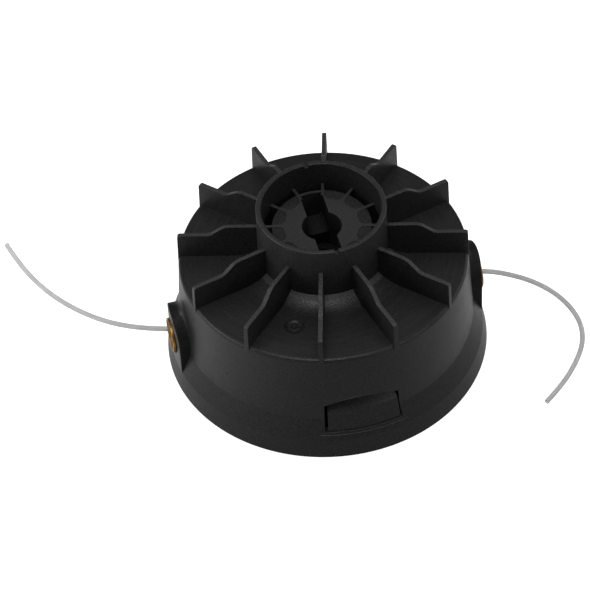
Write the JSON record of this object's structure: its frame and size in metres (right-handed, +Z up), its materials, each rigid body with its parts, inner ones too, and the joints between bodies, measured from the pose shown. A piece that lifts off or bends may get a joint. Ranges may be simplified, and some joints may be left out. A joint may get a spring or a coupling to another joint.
{
  "type": "trimmer head",
  "caption": "Round tap-and-feed string trimmer head with radial cooling fins, slotted drive hub, brass line eyelets, clip-on lower cover, sprung line spool and bump knob",
  "frame": {"origin": "centre of the bump knob's flat underside, on the shaft axis", "axes": "Z up the shaft axis, X through the two line eyelets, Y through the two latches and along the drive slot"},
  "size_m": [0.1718, 0.1144, 0.0662],
  "materials": {
    "black_plastic": "fine grained, matte",
    "spool_plastic": "smooth, satin",
    "knob_plastic": "fine grained, matte",
    "brass": "turned, slightly dull",
    "nylon_line": "smooth, slightly translucent",
    "steel": "plain drawn wire and strip"
  },
  "bodies": {
    "housing": {"housing": "black_plastic", "cover": "black_plastic", "eyelet_right": "brass", "eyelet_left": "brass", "feed_spring": "steel", "line_left": "nylon_line", "line_right": "nylon_line"},
    "press": {"spring_washer": "steel"},
    "spool": {"spool": "spool_plastic", "winding_lower": "nylon_line", "winding_upper": "nylon_line", "bump_knob": "knob_plastic"}
  },
  "joints": [
    {"name": "knob_press", "type": "slide", "parent": "housing", "child": "press", "axis": [0, 0, 1], "range_m": [0, 0.006], "stiffness_N_per_m": 1500, "springref_m": -0.01, "deforming": ["feed_spring"]},
    {"name": "spool_turn", "type": "hinge", "parent": "press", "child": "spool", "pos_m": [0, 0, 0.02], "axis": [0, 0, -1], "range_deg": [0, 30]}
  ],
  "couplings": [
    {"joint": "spool_turn", "follows": "knob_press", "rad_per_m": 87.266}
  ]
}
